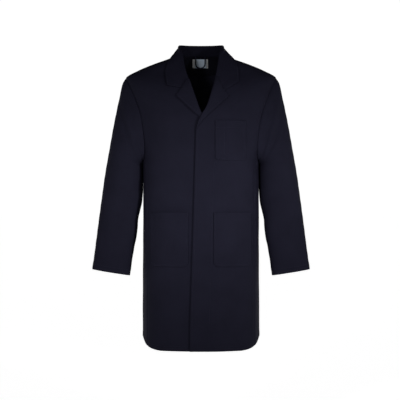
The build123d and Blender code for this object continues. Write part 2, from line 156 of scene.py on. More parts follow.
# ---------- body surface
HALF_WIDTH = table([(0, 196.6), (300, 197.0), (600, 196.5), (650, 197.0), (700, 209), (790, 223),
                    (856, 238), (897, 250), (922, 256), (931, 255), (938, 247), (951, 222), (965, 192),
                    (979, 156), (998, 103), (1008, 84)])
FRONT_DEPTH = table([(0, 129), (300, 128), (650, 127), (790, 127), (830, 121), (856, 114), (897, 97),
                     (925, 78), (938, 68), (951, 61), (965, 57), (979, 53), (998, 49), (1008, 45)])
BACK_DEPTH = table([(0, 121), (300, 120), (560, 116), (700, 116), (800, 118), (856, 113), (897, 103),
                    (925, 95), (951, 88), (979, 81), (998, 76), (1008, 70)])
ROUNDNESS = 2.4
HEM_RISE = table([(0, 13), (130, 13.2), (145, 14.7), (165, 19.5), (181, 28), (193, 42), (197.5, 57)])
UNDERARM = 655.0
SHOULDER_TIP = 931.0
HEM_DEPTH = 15.0
ARMHOLE_X = table([(UNDERARM, 197.3), (659, 192.5), (666, 189.2), (680, 188.2), (734, 192.5), (798, 202),
                   (855, 221), (900, 240), (922, 251), (SHOULDER_TIP, 255)])
SIDE_SEAM_X = table([(0, 178), (600, 178), (632, 184), (650, 193), (UNDERARM, 197.3)])


def hem_height(x, h):
    """The height of a point whose row is h: rows near the hem follow its curve."""
    return h + (HEM_RISE(np.abs(x)) - HEM_RISE(0)) * (1 - ramp(h, 13, 190))


def hem_band(x, h):
    """The folded hem stands this far out, over its depth above the curved hem line."""
    return 0.5 * (1 - ramp(np.abs(h - HEM_RISE(np.abs(x))), HEM_DEPTH - 1, HEM_DEPTH + 1.5))


def half_depth(h, side):
    return np.where(np.asarray(side) < 0, FRONT_DEPTH(h), BACK_DEPTH(h))


def body_y(x, h, side):
    share = np.clip(1 - (np.abs(x) / HALF_WIDTH(h)) ** ROUNDNESS, 0, 1)
    return side * half_depth(h, side) * share ** (1 / ROUNDNESS)


def front_y(x, h):
    """Depth of the plain body surface at one point of the front."""
    return float(body_y(np.array([float(x)]), np.array([float(h)]), FRONT)[0])


def body_normal(x, h, side):
    y = body_y(x, h, side)
    a, b = HALF_WIDTH(h), half_depth(h, side)
    a_slope = (HALF_WIDTH(h + 1) - HALF_WIDTH(h - 1)) / 2
    b_slope = (half_depth(h + 1, side) - half_depth(h - 1, side)) / 2
    n = ROUNDNESS
    rx, ry = np.abs(x) / a, np.abs(y) / b
    normal = np.stack([np.sign(x) * rx ** (n - 1) / a, np.sign(side) * ry ** (n - 1) / b,
                       -(rx ** n * a_slope / a + ry ** n * b_slope / b)], axis=-1)
    return unit(normal)


def around(x, h, side):
    """Angle round the body: 0 at the centre front, +90 degrees at the wearer's left side."""
    y = body_y(x, h, side)
    return np.arctan2(x / HALF_WIDTH(h), -y / half_depth(h, side))


def fold(angle, centre, width):
    """One soft fold: a ridge 1 high across a width, in degrees round the body."""
    return np.exp(-(turn_gap(np.degrees(angle), centre) / width) ** 2)


# angle round the body in degrees, width in degrees, height in mm
SKIRT_FOLDS = (
    (-150, 9, 3.6), (-122, 8, -3.0), (-98, 8, 2.2), (-74, 7, -1.6), (-50, 9, 1.0), (-22, 9, -0.7),
    (26, 9, -0.8), (52, 9, 1.1), (76, 7, -1.5), (100, 8, 2.6), (126, 9, -3.2), (152, 8, 3.4),
    (176, 8, -2.0))
CHEST_FOLDS = (
    (-128, 9, 2.4), (-112, 7, -2.2), (-60, 8, 1.3), (-45, 7, -1.3), (44, 7, -1.6), (58, 8, 1.8),
    (112, 7, -2.4), (130, 9, 2.6))


def drape(x, h, side):
    """How far the hanging cloth stands off the plain body surface, in mm."""
    angle = around(x, h, side)
    low = 1 - ramp(h, 60, 640)
    total = np.zeros_like(angle)
    for centre, width, height in SKIRT_FOLDS:
        drift = centre * (1 + 0.0001 * (h - 300))
        total = total + height * low * fold(angle, drift, width)
    high = ramp(h, 560, 720) * (1 - ramp(h, 830, 915))
    for centre, width, height in CHEST_FOLDS:
        lean = centre + np.sign(centre) * (h - 700) * 0.045
        total = total + height * high * fold(angle, lean, width)
    slack = np.sin(h / 57.0 + 2.2 * angle) * np.sin(h / 31.0 - 3.1 * angle + 1.0)
    total = total + 0.45 * slack * (1 - ramp(h, 880, 960))
    wrinkle = np.sin(h / 17.0 + 6.0 * angle + 2.0 * np.sin(h / 83.0)) * np.sin(h / 140.0 + 4.0 * angle)
    return total + 0.16 * wrinkle * (1 - ramp(h, 900, 960))


def on_cloth(x, h, lift, face=BACK):
    """Points and normals lift mm off the hanging cloth, on the back or the front face of the body."""
    face = np.zeros_like(x) + face
    normal = body_normal(x, h, face)
    base = np.stack([x, body_y(x, h, face), h], axis=-1)
    return base + normal * (drape(x, h, face) + lift)[..., None], normal


# ---------- the two fronts
OVERLAP_STEP = 6.6           # the left front stands this far off the right where they overlap
OVERLAP_FLAT = 50.0
OVERLAP_FADE = 112.0
FRONT_EDGE = {
    LEFT: table([(0, -36), (28, -36), (297, -29), (422, -25.3), (552, -21.4), (745, -16), (778, -14.6)]),
    RIGHT: table([(0, -28), (800, -28)]),
}
ROLL = {
    LEFT: table([(745, -16), (778, -7), (799, 3), (821, 17.5), (870, 35), (922, 50), (950, 53),
                 (1029, 60.6)]),
    RIGHT: table([(745, -28), (778, -20), (800, -6), (807, 0), (850, 17.5), (897, 35.2), (939, 51),
                  (1027, 59.6)]),
}
ROLL_BOTTOM = 745.0
NECK_START = 925.0           # above this height a front ends at the neck seam
ROLL_STAND_OFF = table([(745, 0), (780, 1.5), (821, 6), (870, 9), (922, 12), (950, 10), (975, 4),
                        (1008, 0)])
NECK_SEAM_X = table([(905, 50), (930, 51), (955, 58), (985, 69), (1000, 76), (1008, 80)])


def front_cloth(side, x, h, lift=0.0):
    """Points and normals lift mm off the outer face of the wearer's left or right front."""
    inward = x * side
    if side == LEFT:
        share = ramp(-np.abs(x), -OVERLAP_FADE, -OVERLAP_FLAT) * (1 - ramp(h, 800, 900))
        lift = lift + OVERLAP_STEP * share
    beside_roll = np.exp(-(np.clip(inward - ROLL[side](h), 0, None) / 34.0) ** 2)
    return on_cloth(x, h, lift + ROLL_STAND_OFF(h) * beside_roll, FRONT)


def on_front(side, x, h, lift=0.0):
    """Points and normals of a front, x as seen on the wearer's left."""
    return front_cloth(side, x * side, h, lift)


def section_x(h, turn):
    """x on the body's section at one height, by the turn from its centre line."""
    return float(HALF_WIDTH(h)) * np.sign(turn) * np.abs(np.sin(turn)) ** (2 / ROUNDNESS)


def section_columns(h, start, end, shares, face):
    """x at shares of the arc length between two x on one face of the body's section at h."""
    x = section_x(h, np.linspace(-math.pi / 2, math.pi / 2, 721))
    run = run_along(np.stack([x, body_y(x, np.full_like(x, h), face)], axis=-1))
    first, last = np.interp([start, end], x, run)
    return np.interp(first + (last - first) * shares, run, x)


def inner_x(side, h):
    """Where a front starts across at one height: its edge, its roll or the neck seam."""
    if h < ROLL_BOTTOM:
        return float(FRONT_EDGE[side](h))
    if h < NECK_START:
        return float(ROLL[side](h))
    return max(float(ROLL[side](NECK_START)), float(NECK_SEAM_X(h)))


def outer_x(h):
    """Where the body's cloth ends across at one height: the side seam, the armhole or the shoulder."""
    if h < UNDERARM:
        return float(SIDE_SEAM_X(h))
    if h < SHOULDER_TIP:
        return float(ARMHOLE_X(h))
    return float(HALF_WIDTH(h))


def row_heights(low, high, step):
    return np.linspace(low, high, int(round((high - low) / step)) + 1)


def body_rows(top):
    """Heights of the rows of a front or back, closer at the hem and on the shoulder."""
    return np.concatenate([[13.0, 14.2, 17.0, 22.0], row_heights(28, 915, 6.5), row_heights(918, top, 3.0)])


# ---------- meshes
def new_object(name, vertices, faces, weave=None):
    mesh = bpy.data.meshes.new(name)
    corners = [tuple(v) for v in np.asarray(vertices, float)]
    mesh.from_pydata(corners, [], [tuple(int(i) for i in f) for f in faces])
    if weave is not None:
        attribute = mesh.attributes.new("weave", "FLOAT_VECTOR", "POINT")
        attribute.data.foreach_set("vector", np.asarray(weave, np.float32).ravel())
    mesh.validate()
    mesh.polygons.foreach_set("use_smooth", [True] * len(mesh.polygons))
    mesh.update()
    thing = bpy.data.objects.new(name, mesh)
    bpy.context.scene.collection.objects.link(thing)
    return thing


def weave_map(points):
    """Metres along the columns and rows of a grid, for the weave."""
    across = np.linalg.norm(np.diff(points, axis=1), axis=-1)
    along = np.linalg.norm(np.diff(points, axis=0), axis=-1)
    u = np.concatenate([np.zeros((points.shape[0], 1)), np.cumsum(across, axis=1)], axis=1)
    u = u - u[:, u.shape[1] // 2][:, None]
    v = np.concatenate([np.zeros((1, points.shape[1])), np.cumsum(along, axis=0)], axis=0)
    return np.stack([u, v, np.zeros_like(u)], axis=-1) / 1000.0


RIM_BULGE = 0.35             # a sheet's rim bulges by this share of its thickness


def sheet_parts(outer, thickness, normals, wrap):
    """Vertices, faces and weave of a closed sheet: an outer grid, an inner grid and a rounded rim."""
    rows, columns = outer.shape[:2]
    thick = np.broadcast_to(np.asarray(thickness, float), (rows, columns))
    inner = outer - normals * thick[..., None]
    vertices = [outer.reshape(-1, 3), inner.reshape(-1, 3)]
    weave = weave_map(outer).reshape(-1, 3)
    weaves = [weave, weave]
    index = np.arange(rows * columns).reshape(rows, columns)
    count = rows * columns
    faces = []
    across = range(columns if wrap else columns - 1)
    for r in range(rows - 1):
        for c in across:
            d = (c + 1) % columns
            quad = (index[r, c], index[r, d], index[r + 1, d], index[r + 1, c])
            faces.append(quad)
            faces.append(tuple(i + count for i in quad[::-1]))
    if wrap:
        loops = [index[0, :][::-1], index[-1, :]]
    else:
        edge = [index[0, :], index[1:, -1], index[-1, -2::-1], index[-2:0:-1, 0]]
        loops = [np.concatenate(edge)[::-1]]
    flat_outer, flat_inner = outer.reshape(-1, 3), inner.reshape(-1, 3)
    base = 2 * count
    for loop in loops:
        middle = (flat_outer[loop] + flat_inner[loop]) / 2
        wall = flat_outer[loop] - flat_inner[loop]
        run = np.roll(middle, -1, axis=0) - np.roll(middle, 1, axis=0)
        out = unit(np.cross(wall, run))
        bulge = np.linalg.norm(wall, axis=-1, keepdims=True) * RIM_BULGE
        vertices.append(middle + out * bulge)
        weaves.append(weave[loop])
        size = len(loop)
        for k in range(size):
            m = (k + 1) % size
            faces.append((loop[k], loop[m], base + m, base + k))
            faces.append((base + k, base + m, loop[m] + count, loop[k] + count))
        base += size
    return np.concatenate(vertices), faces, np.concatenate(weaves)


def joined(parts):
    """Several (vertices, faces, weave) as one."""
    vertices, faces, weaves, base = [], [], [], 0
    for v, f, w in parts:
        vertices.append(v)
        weaves.append(w)
        faces.extend(tuple(i + base for i in face) for face in f)
        base += len(v)
    return np.concatenate(vertices), faces, np.concatenate(weaves)


def ring_faces(rings, corners):
    """Faces of a tube of rings, with a cap at each end."""
    faces = []
    for base in range(0, (rings - 1) * corners, corners):
        for i in range(corners):
            n = (i + 1) % corners
            faces.append((base + i, base + n, base + corners + n, base + corners + i))
    faces.append(tuple(range(corners))[::-1])
    faces.append(tuple(range((rings - 1) * corners, rings * corners)))
    return faces


def solid(name, parts, material):
    """One object of several (vertices, faces, weave) in mm."""
    vertices, faces, weave = joined(parts)
    thing = new_object(name, metres(vertices), faces, weave)
    thing.data.materials.append(material)
    return thing


def cloth(name, outer, thickness, material, normals, wrap=False, flip=False):
    """A closed sheet whose outer face is a grid. Its columns run to the wearer's left, or else flip."""
    if flip:
        thickness = np.broadcast_to(np.asarray(thickness, float), outer.shape[:2])[:, ::-1]
        outer, normals = outer[:, ::-1], normals[:, ::-1]
    return solid(name, [sheet_parts(outer, thickness, normals, wrap)], material)


# ---------- stitching
STITCH_LENGTH = 2.7
STITCH_PITCH = 3.5
STITCH_RADIUS = 0.30
THREAD_LIFT = 0.2
HEM_STITCH = 15.5            # the hem's row runs this far above its edge


def stitch_parts(points, normals):
    """A row of thread stitches along a path, each a small rounded bar lying on the cloth."""
    points, normals = np.asarray(points, float), np.asarray(normals, float)
    run = run_along(points)
    count = int(run[-1] // STITCH_PITCH)
    if count < 1:
        return np.zeros((0, 3)), [], np.zeros((0, 3))
    spare = run[-1] - count * STITCH_PITCH
    starts = (np.arange(count) + 0.5) * STITCH_PITCH + spare / 2 - STITCH_LENGTH / 2
    stations = np.array([0.0, 0.22, 0.78, 1.0]) * STITCH_LENGTH
    heights = np.array([-0.12, 0.22, 0.22, -0.12])
    girth = np.array([0.45, 1.0, 1.0, 0.45]) * STITCH_RADIUS
    at = starts[:, None] + stations[None, :]
    centre = np.stack([np.interp(at, run, points[:, k]) for k in range(3)], axis=-1)
    up = unit(np.stack([np.interp(at, run, normals[:, k]) for k in range(3)], axis=-1))
    ahead = unit(np.repeat((centre[:, -1] - centre[:, 0])[:, None], 4, axis=1))
    side = unit(np.cross(ahead, up))
    centre = centre + up * heights[None, :, None]
    ring = [centre + (up * s[0] + side * s[1]) * girth[None, :, None]
            for s in ((1, 0), (0, 1), (-1, 0), (0, -1))]
    vertices = np.stack(ring, axis=2).reshape(-1, 3)
    bar = [face[:1] + face[:0:-1] for face in ring_faces(4, 4)]
    faces = [tuple(16 * k + i for i in face) for k in range(count) for face in bar]
    return vertices, faces, vertices / 1000.0


# ---------- materials
def add_node(tree, kind, inputs=(), **settings):
    """A shader node with these settings, and these constants on its sockets."""
    node = tree.nodes.new("ShaderNode" + kind)
    for setting, value in settings.items():
        setattr(node, setting, value)
    for socket, value in dict(inputs).items():
        node.inputs[socket].default_value = value
    return node


def principled(name, color, roughness, **inputs):
    material = bpy.data.materials.new(name)
    material.use_nodes = True
    shader = material.node_tree.nodes["Principled BSDF"]
    constants = {"Base Color": (*color, 1), "Roughness": roughness, "Sheen Roughness": 0.45,
                 "Specular IOR Level": 0.3, **inputs}
    for socket, value in constants.items():
        shader.inputs[socket].default_value = value
    return material, material.node_tree, shader


def add_bump(tree, shader, height, strength, distance):
    bump = add_node(tree, "Bump", {"Strength": strength, "Distance": distance})
    tree.links.new(height, bump.inputs["Height"])
    tree.links.new(bump.outputs["Normal"], shader.inputs["Normal"])


def mixed(tree, share, first, second):
    """Two grey values in one, with this share of the second."""
    mix = add_node(tree, "Mix", {0: share}, data_type="FLOAT")
    tree.links.new(first, mix.inputs[2])
    tree.links.new(second, mix.inputs[3])
    return mix.outputs[0]


RIB_ANGLE = math.radians(63)


def twill(name, dark, light, roughness=0.82, sheen=0.0, ribs=1350.0):
    """Fine diagonal twill: raised ribs, fuzz, and slow changes of shade."""
    material, tree, shader = principled(name, dark, roughness,
                                        **{"Sheen Weight": sheen, "Specular IOR Level": 0.05})
    place = add_node(tree, "Attribute", attribute_name="weave")
    turn = add_node(tree, "Mapping", {"Rotation": (0, 0, RIB_ANGLE)})
    tree.links.new(place.outputs["Vector"], turn.inputs["Vector"])
    rib = add_node(tree, "TexWave", {"Scale": ribs * math.pi / 10.0, "Distortion": 0.6, "Detail": 2.0,
                                     "Detail Scale": 3.0}, wave_profile="SIN")
    tree.links.new(turn.outputs["Vector"], rib.inputs["Vector"])
    yarn = add_node(tree, "TexNoise", {"Scale": 900.0, "Detail": 4.0})
    tree.links.new(place.outputs["Vector"], yarn.inputs["Vector"])
    cloud = add_node(tree, "TexNoise", {"Scale": 14.0, "Detail": 3.0})
    tree.links.new(add_node(tree, "TexCoord").outputs["Object"], cloud.inputs["Vector"])
    weave = mixed(tree, 0.45, rib.outputs["Fac"], yarn.outputs["Fac"])
    shade = add_node(tree, "ValToRGB")
    for element, position, color in zip(shade.color_ramp.elements, (0.25, 0.78), (dark, light)):
        element.position = position
        element.color = (*color, 1)
    tree.links.new(mixed(tree, 0.4, weave, cloud.outputs["Fac"]), shade.inputs["Fac"])
    tree.links.new(shade.outputs["Color"], shader.inputs["Base Color"])
    add_bump(tree, shader, weave, 0.5, 0.00012)
    return material


def metal(name):
    material, tree, shader = principled(name, (0.42, 0.42, 0.43), 0.32, Metallic=1.0)
    noise = add_node(tree, "TexNoise", {"Scale": 800.0})
    add_bump(tree, shader, noise.outputs["Fac"], 0.2, 0.00005)
    return material


NAVY = twill("navy_twill", (0.0064, 0.0062, 0.0124), (0.0112, 0.0109, 0.0208))
# Painted shade: a darker copy of the navy twill that stands in for the shade inside the coat. The facings,
# fly strip and back neck facing wear it.
NAVY_PAINTED_SHADE = twill("navy_twill_painted_shade", (0.0040, 0.0039, 0.0075), (0.0070, 0.0068, 0.0125))
THREAD = twill("navy_thread", (0.014, 0.014, 0.026), (0.026, 0.026, 0.044), 0.6, ribs=4000.0)
TAPE = twill("loop_tape", (0.012, 0.012, 0.024), (0.022, 0.022, 0.042), 0.7, ribs=2600.0)
LABEL = twill("label_satin", (0.56, 0.68, 0.82), (0.68, 0.78, 0.90), 0.5, 0.1, ribs=3200.0)
LABEL_EDGE = twill("label_edge", (0.80, 0.82, 0.84), (0.90, 0.91, 0.92), 0.5, 0.1, ribs=3200.0)
CARE = twill("care_label_satin", (0.55, 0.55, 0.52), (0.70, 0.70, 0.67), 0.45, ribs=3200.0)
METAL = metal("nickelled_brass")


# ---------- bend ends of the fronts and sleeves, and baking pieces in place
BEND_START = (0.109, 0.0, -0.208)
BEND_END = (-0.140, 0.0, -0.376)
SLEEVE_BEND_START = (0.190, 0.0, -0.338)
SLEEVE_BEND_END = (0.342, 0.0, -0.452)
SIDE_NAME = {LEFT: "left", RIGHT: "right"}


def mirror_x(point, side):
    return (side * point[0], point[1], point[2])


def follow_front(thing, side):
    """Bakes the piece's placement into its mesh; the bend's ends are mirrored to this side but not used."""
    mirror_x(BEND_START, side)
    mirror_x(BEND_END, side)
    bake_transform(thing)


def follow_sleeve(thing, side):
    mirror_x(SLEEVE_BEND_START, side)
    mirror_x(SLEEVE_BEND_END, side)
    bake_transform(thing)


# ---------- fronts
CLOTH_THICK = 1.0
EDGE_THICK = 2.6


def seam_groove(distance):
    """Cloth dips this far beside a seam, distance mm away."""
    return -1.1 * np.exp(-(distance / 2.0) ** 2) + 0.35 * np.exp(-((distance - 5.0) / 2.4) ** 2)


FRONT_REACH = 200.0          # about how far across a front's cloth goes


def make_front(side):
    heights = body_rows(1005)
    shares = edge_spaced(44, FRONT_REACH)
    rows = []
    for h in heights:
        inner, outer = inner_x(side, h), outer_x(h)
        x = section_columns(h, inner, outer, shares, FRONT) * side
        row_h = hem_height(x, h)
        from_outer = (1 - shares) * (outer - inner) * 1.1
        rows.append(front_cloth(side, x, row_h, seam_groove(from_outer) + hem_band(x, row_h))[0])
    points = np.array(rows)
    edge = (1 - ramp(shares * FRONT_REACH, 1.5, 9))[None, :] * (1 - ramp(heights, 760, 800))[:, None]
    thick = CLOTH_THICK + (EDGE_THICK - CLOTH_THICK) * edge
    normals = body_normal(points[..., 0], points[..., 2], FRONT)
    name = SIDE_NAME[side]
    thing = cloth(f"{name}_front_cloth", points, thick, NAVY, normals, flip=side == RIGHT)
    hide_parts(f"{name}_front_chest", f"{name}_front_panel")
    follow_front(thing, side)


make_front(LEFT)
make_front(RIGHT)


# ---------- back
SIDE_ALLOWANCE = 14.0        # the back runs on under the front this far past the side seam
BACK_REACH = 290.0           # about how far round the back's cloth goes
VENT_TOP = 262.0


def back_arc(h):
    """Section of the back from its centre to its edge: x, y, and the run along it, at the side and seam."""
    edge = outer_x(h)
    x = section_x(h, np.linspace(0, math.pi / 2, 401))
    if h >= UNDERARM:
        xs = np.append(x[x <= edge + 1e-6], edge)
        ys = body_y(xs, np.full_like(xs, h), BACK)
        run = run_along(np.stack([xs, ys], axis=-1))
        return xs, ys, run, run[-1], run[-1]
    allowance = SIDE_ALLOWANCE * (1 - ramp(h, 560, 630))
    front_x = x[::-1]
    front_x = front_x[front_x >= edge - allowance - 0.05][1:]
    xs = np.concatenate([x, front_x])
    ys = body_y(xs, np.full_like(xs, h), np.repeat([BACK, FRONT], [x.size, front_x.size]))
    run = run_along(np.stack([xs, ys], axis=-1))
    side = x.size - 1
    return xs, ys, run, run[side], np.interp(-edge, -xs[side:], run[side:])


def back_columns(h, shares):
    """x, face, run and run at the seam for shares of the section from the centre back to the edge."""
    xs, ys, run, to_side, seam = back_arc(h)
    # just under the arm only the last columns go round to the front
    crowd = 1 + 23 * ramp(h, UNDERARM - 120, UNDERARM)
    at = shares * to_side + (run[-1] - to_side) * shares ** crowd
    return np.interp(at, run, xs), np.where(np.interp(at, run, ys) < 0, FRONT, BACK), at, seam


def make_back(side):
    shares = edge_spaced(56, BACK_REACH)
    rows = []
    for h in body_rows(1008):
        x, face, at, seam = back_columns(h, shares)
        x = x * side
        row_h = hem_height(x, h)
        dip = seam_groove(np.abs(seam - at)) + seam_groove(at) - 2.6 * ramp(at - seam, 0.3, 3.0)
        vent = (1 - ramp(h, VENT_TOP - 40, VENT_TOP)) * np.exp(-(at / 26.0) ** 2)
        lift = dip + hem_band(x, row_h) + (1.6 if side == LEFT else -0.2) * vent
        rows.append(on_cloth(x, row_h, lift, face))
    points, normals = np.array(rows).swapaxes(0, 1)
    name = SIDE_NAME[side]
    thing = cloth(f"{name}_back_cloth", points, CLOTH_THICK, NAVY, normals, flip=side == LEFT)
    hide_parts(f"{name}_back_panel")
    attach(thing, "root")


make_back(LEFT)
make_back(RIGHT)


# ---------- sleeves
SLEEVE_OUTER = path_curve([(255, 931), (264.5, 915), (271.5, 895), (280, 856), (291.5, 798), (306, 720),
                           (329, 584), (352, 414), (368, 294), (369.5, 281)])
SLEEVE_INNER = path_curve([(197, 655), (196.6, 640), (196.3, 600), (197, 552), (206, 480), (217.5, 414),
                           (236, 300), (241.5, 260)])
SLEEVE_DEPTH = table([(0, 64), (0.15, 65), (0.35, 63), (0.5, 58), (0.7, 46), (0.85, 37), (1.0, 31)])
FAN_ROWS = 34
TUBE_ROWS = 58
SLEEVE_COLUMNS = 84
SLEEVE_ROUNDNESS = 2.25
FAN_OUTER_SHARE = 0.475      # the first rows spread like a fan over this share of the outer line
FAN_INNER_SHARE = 0.06
CUFF_START = 0.955           # the cuff's turned hem begins at this share of the sleeve


def sleeve_rings():
    """Pairs of points, outer and inner, that each ring of the wearer's left sleeve runs through."""
    fan = np.linspace(0, 1, FAN_ROWS, endpoint=False)
    tube = np.linspace(0, 1, TUBE_ROWS)
    outer_shares = np.concatenate([fan * FAN_OUTER_SHARE, FAN_OUTER_SHARE + tube * (1 - FAN_OUTER_SHARE)])
    inner_shares = np.concatenate([fan * FAN_INNER_SHARE, FAN_INNER_SHARE + tube * (1 - FAN_INNER_SHARE)])
    return SLEEVE_OUTER(outer_shares), SLEEVE_INNER(inner_shares), outer_shares


def armhole_ring(angles):
    """The armhole seam: angle 0 at the shoulder tip, through the front, 180 degrees at the underarm."""
    share = (1 - np.cos(angles)) / 2
    h = SHOULDER_TIP + (UNDERARM - SHOULDER_TIP) * share
    x = ARMHOLE_X(h)
    return on_cloth(x, h, -0.8, np.where(np.sin(angles) > 0, FRONT, BACK))[0]


SLEEVE_FOLD_GAIN = 1.5
# share along the sleeve, degrees round it, lean, width along, width round in degrees, height
SLEEVE_FOLDS = (
    (0.16, 70, 260, 0.030, 55, 2.6), (0.215, 62, 240, 0.030, 50, -2.2), (0.27, 78, 220, 0.032, 48, 1.9),
    (0.22, 205, 0, 0.035, 60, -3.2), (0.30, 190, 60, 0.040, 55, 2.6), (0.38, 180, -60, 0.040, 55, -2.6),
    (0.50, 165, 80, 0.040, 60, 2.6), (0.565, 178, -60, 0.034, 55, -2.8), (0.63, 170, 60, 0.036, 55, 2.4),
    (0.17, 300, -260, 0.036, 50, 2.4), (0.24, 292, -240, 0.034, 50, -2.2), (0.60, 300, 120, 0.05, 45, 1.8),
    (0.72, 190, 40, 0.05, 60, -1.8), (0.80, 175, 0, 0.05, 60, 1.6))


def sleeve_drape(share, angle):
    """Soft folds of the sleeve, in mm, by the share of its length and the angle round it."""
    total = np.zeros_like(share * angle)
    for at, round_at, lean, along, width, height in SLEEVE_FOLDS:
        gap = turn_gap(np.degrees(angle), round_at)
        shift = share - at - gap / 1000.0 * (lean / 120.0)
        total = total + SLEEVE_FOLD_GAIN * height * np.exp(-(shift / along) ** 2 - (gap / width) ** 2)
    beside_body = fold(angle, 180, 42.0) * (1 - ramp(share, 0.60, 0.72))
    creases = (1.6 * fold(angle, 78, 16.0) + 1.2 * fold(angle, 282, 16.0)) * ramp(share, 0.25, 0.5)
    wobble = np.sin(share * 37 + 2 * angle) * np.sin(share * 61 - angle * 3 + 0.7) * ramp(share, 0.05, 0.2)
    return (total * ramp(share, 0.03, 0.16) + 0.5 * wobble) * (1 - beside_body) + creases


def outward_normals(tube):
    """Normals of a wrapped grid, pointing away from its middle."""
    normals = grid_normals(tube, wrap=True)
    return normals * np.sign(((tube - tube.mean(axis=1, keepdims=True)) * normals).sum())


def make_sleeve(side):
    outer_line, inner_line, shares = sleeve_rings()
    angles = np.linspace(0, 2 * math.pi, SLEEVE_COLUMNS, endpoint=False)
    seam = armhole_ring(angles)
    c = np.sign(np.cos(angles)) * np.abs(np.cos(angles)) ** (2 / SLEEVE_ROUNDNESS)
    s = np.sign(np.sin(angles)) * np.abs(np.sin(angles)) ** (2 / SLEEVE_ROUNDNESS)
    middle, half = (outer_line + inner_line) / 2, (outer_line - inner_line) / 2
    x = middle[:, :1] + half[:, :1] * c
    h = middle[:, 1:] + half[:, 1:] * c
    rings = np.stack([x, -SLEEVE_DEPTH(shares)[:, None] * s, h], axis=-1)
    row = np.arange(len(shares))[:, None]
    points = rings + (seam - rings[0]) * (1 - ramp(row / FAN_ROWS, 0.0, 0.85))[..., None]
    cap_roll = 1.3 * np.exp(-((row - 2.2) / 1.6) ** 2) * (np.cos(angles)[None, :] > -0.2)
    cuff = 0.6 * ramp(shares, CUFF_START, CUFF_START + 0.007)[:, None]
    off = sleeve_drape(shares[:, None], angles[None, :]) + cap_roll + cuff
    points = points + outward_normals(points) * off[..., None]
    points[0] = seam
    mirror = np.array([side, 1, 1])
    points, normals = points * mirror, outward_normals(points) * mirror
    thick = CLOTH_THICK + 0.9 * ramp(shares, CUFF_START, CUFF_START + 0.010)
    name = SIDE_NAME[side]
    thing = cloth(f"{name}_sleeve_cloth", points[::-1], thick[::-1, None], NAVY, normals[::-1], wrap=True,
                  flip=side == LEFT)
    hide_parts(f"{name}_sleeve", f"{name}_sleeve_cap")
    follow_sleeve(thing, side)
    return points, normals


sleeves = {side: make_sleeve(side) for side in (LEFT, RIGHT)}


# ---------- lapels
LAPEL_EDGE = {
    LEFT: path_curve([(-15.5, 746), (-6, 765), (6, 781), (20, 795), (40, 812), (68, 838), (93, 862)]),
    RIGHT: path_curve([(-27, 746), (-16, 768), (0, 790), (19.5, 804), (38, 821), (61, 843), (83, 864)]),
}
NOTCH = {LEFT: (76.4, 879.0), RIGHT: (61.7, 890.0)}
GORGE_START = {LEFT: (50.0, 922.0), RIGHT: (41.0, 913.0)}
LAPEL_THICK = 2.0


LAPEL_ROWS = 46
LAPEL_COLUMNS = 26
AROUND_ROLL = np.array([-3.4, -1.2, 1.6, 4.0])        # how far the first columns stand off the front
ROLL_SHIFT = np.array([1.0, 2.3, 2.2, 0.7])           # and how far out past the roll line they lie


def lapel_grid(side):
    """Rows from the bottom of the roll up to the gorge, columns from the roll out to the edge."""
    along = np.linspace(0, 1, LAPEL_ROWS)
    roll_h = ROLL_BOTTOM + (GORGE_START[side][1] - ROLL_BOTTOM) * along
    roll = np.stack([ROLL[side](roll_h), roll_h], axis=-1)
    edge = LAPEL_EDGE[side](along ** 1.05)
    notch = np.array(NOTCH[side])
    outward = np.linspace(0, 1, LAPEL_COLUMNS)
    gorge_share = corner_share_of(roll[-1], notch, edge[-1])
    rows = []
    for k in range(LAPEL_ROWS):
        straight = roll[k] + (edge[k] - roll[k]) * outward[:, None]
        bent = bent_line(roll[k], notch, edge[k], outward, gorge_share)
        weight = ramp(along[k], 0.72, 1.0)
        rows.append(straight * (1 - weight) + bent * weight)
    return np.array(rows), along, outward


def make_lapel(side):
    """The turned part starts behind the roll, comes round it and lies down on the chest."""
    flat, along, outward = lapel_grid(side)
    bulk = (0.45 + 0.75 * along)[:, None]
    x = np.concatenate([flat[:, :1, 0] - ROLL_SHIFT * bulk, flat[:, 2:, 0]], axis=1)
    h = np.concatenate([np.repeat(flat[:, :1, 1], len(ROLL_SHIFT), axis=1), flat[:, 2:, 1]], axis=1)
    lie = 5.0 + 0.8 * (1 - outward[2:]) ** 1.5
    lie = lie * (0.35 + 0.70 * ramp(along, 0.05, 0.60)[:, None])
    low_end = ramp(along, 0.0, 0.16)[:, None]
    gorge = (1 - 0.30 * ramp(along, 0.88, 1.0))[:, None]
    lift = np.concatenate([AROUND_ROLL * bulk, lie], axis=1) * (0.25 + 0.75 * low_end) * gorge
    thick = LAPEL_THICK * (0.4 + 0.6 * low_end)
    points, normals = on_front(side, x, h, lift + thick)
    grid = grid_normals(points)
    normals = grid * np.sign((grid * normals).sum())
    name = SIDE_NAME[side]
    thing = cloth(f"{name}_lapel_cloth", points, thick, NAVY, normals, flip=side == RIGHT)
    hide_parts(f"{name}_lapel")
    follow_front(thing, side)
    return points, normals


lapels = {side: make_lapel(side) for side in (LEFT, RIGHT)}


# ---------- collar
COLLAR_THICK = 2.2
COLLAR_ROWS = 64
LEAF_POINTS = 30
STAND_POINTS = 8
COLLAR_OFF_CHEST = 5.5
COLLAR_OVER_SHOULDER = 5.0


def shoulder_surface(x, y):
    """Height of the body surface under a point of the shoulder."""
    low, high = 860.0, 1008.0
    side = FRONT if y < 0 else BACK
    for _ in range(40):
        middle = (low + high) / 2
        across = abs(x) / float(HALF_WIDTH(middle))
        through = abs(y) / float(half_depth(middle, side))
        if across ** ROUNDNESS + through ** ROUNDNESS < 1:
            low = middle
        else:
            high = middle
    return low


